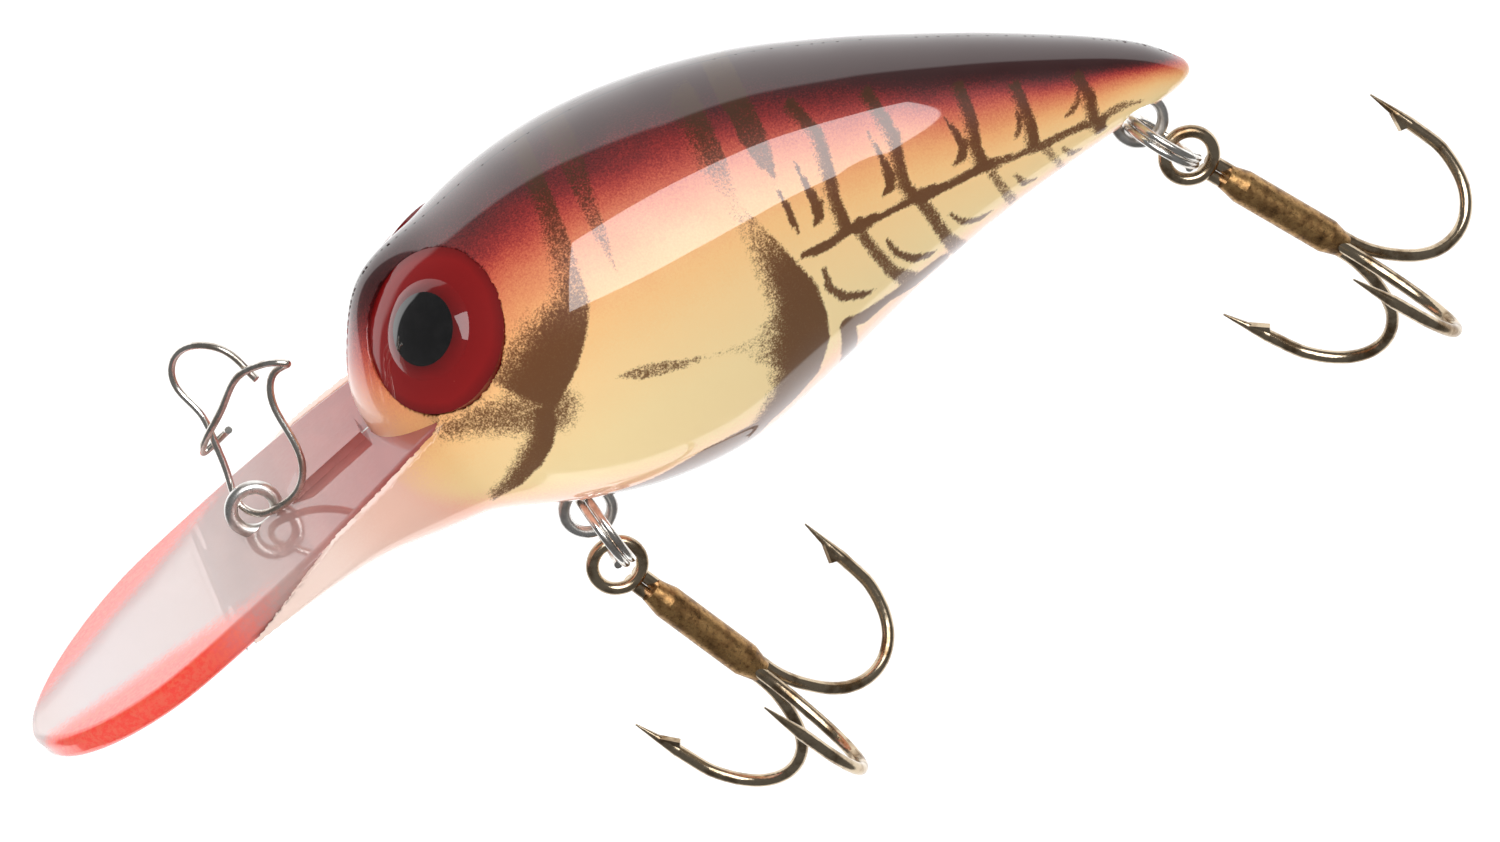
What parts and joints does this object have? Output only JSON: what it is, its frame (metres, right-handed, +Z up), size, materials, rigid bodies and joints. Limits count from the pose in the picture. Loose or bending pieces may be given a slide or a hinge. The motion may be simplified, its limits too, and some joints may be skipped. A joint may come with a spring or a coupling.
{
  "type": "crankbait lure",
  "caption": "Deep-diving crankbait with a hollow painted body, long clear lip, a wire snap at the line tie, belly and tail treble hooks on split rings, and rattles inside.",
  "frame": {"origin": "centre of the line-tie eye, in the middle plane of the lure", "axes": "+X from the lip toward the tail, +Z up over the back, +Y toward the lure's right side"},
  "size_m": [0.0829, 0.0196, 0.0455],
  "materials": {
    "left_shell": "airbrushed crayfish paint under clear gloss",
    "right_shell": "airbrushed crayfish paint under clear gloss",
    "clear_lip": "clear polycarbonate, tinted pink, orange at the tip corners",
    "tie_wire": "bright stainless wire",
    "snap_wire": "bright stainless spring wire",
    "ring_wire": "nickel-plated ring wire",
    "hook_wire": "dark bronze lacquered hook wire",
    "braze": "bronze-gold braze",
    "eye_red": "deep red, very glossy",
    "pupil_black": "black, very glossy",
    "rattle_steel": "polished ball",
    "ballast": "grey weight"
  },
  "bodies": {
    "lure_body": {"body_shell_left": "left_shell", "body_shell_right": "right_shell", "diving_lip": "clear_lip", "line_tie_eye": "tie_wire", "belly_hook_hanger": "tie_wire", "tail_hook_hanger": "tie_wire", "eye_disc_left": "eye_red", "eye_disc_right": "eye_red", "eye_pupil_left": "pupil_black", "eye_pupil_right": "pupil_black", "ballast_weight": "ballast"},
    "snap": {"snap": "snap_wire"},
    "belly_ring": {"belly_split_ring": "ring_wire"},
    "belly_hook": {"belly_double_hook": "hook_wire", "belly_single_hook": "hook_wire", "belly_hook_braze": "braze"},
    "tail_ring": {"tail_split_ring": "ring_wire"},
    "tail_hook": {"tail_double_hook": "hook_wire", "tail_single_hook": "hook_wire", "tail_hook_braze": "braze"},
    "rattle_front": {"rattle_ball_front": "rattle_steel"},
    "rattle_middle": {"rattle_ball_middle": "rattle_steel"},
    "rattle_rear": {"rattle_ball_rear": "rattle_steel"}
  },
  "joints": [
    {"name": "snap_swing", "type": "hinge", "parent": "lure_body", "child": "snap", "pos_m": [0, 0, 0], "axis": [0, 1, 0], "range_deg": [-90, 5]},
    {"name": "belly_ring_swing", "type": "hinge", "parent": "lure_body", "child": "belly_ring", "pos_m": [0.01885, 0, -0.00135], "axis": [0, 1, 0], "range_deg": [-30, 80]},
    {"name": "belly_hook_sway", "type": "hinge", "parent": "belly_ring", "child": "belly_hook", "pos_m": [0.01975, 0, -0.00265], "axis": [0.8462, 0, 0.5329], "range_deg": [-22, 38]},
    {"name": "tail_ring_swing", "type": "hinge", "parent": "lure_body", "child": "tail_ring", "pos_m": [0.0502, 0, 0.01964], "axis": [0, 1, 0], "range_deg": [-50, 70]},
    {"name": "tail_hook_sway", "type": "hinge", "parent": "tail_ring", "child": "tail_hook", "pos_m": [0.0515, 0, 0.0182], "axis": [0.5505, 0, 0.8348], "range_deg": [-38, 38]},
    {"name": "rattle_front_roll", "type": "slide", "parent": "lure_body", "child": "rattle_front", "axis": [0, 1, 0], "range_m": [-0.0054, 0.0054]},
    {"name": "rattle_middle_roll", "type": "slide", "parent": "lure_body", "child": "rattle_middle", "axis": [0, 1, 0], "range_m": [-0.0039, 0.0039]},
    {"name": "rattle_rear_roll", "type": "slide", "parent": "lure_body", "child": "rattle_rear", "axis": [0, 1, 0], "range_m": [-0.0024, 0.0024]}
  ]
}
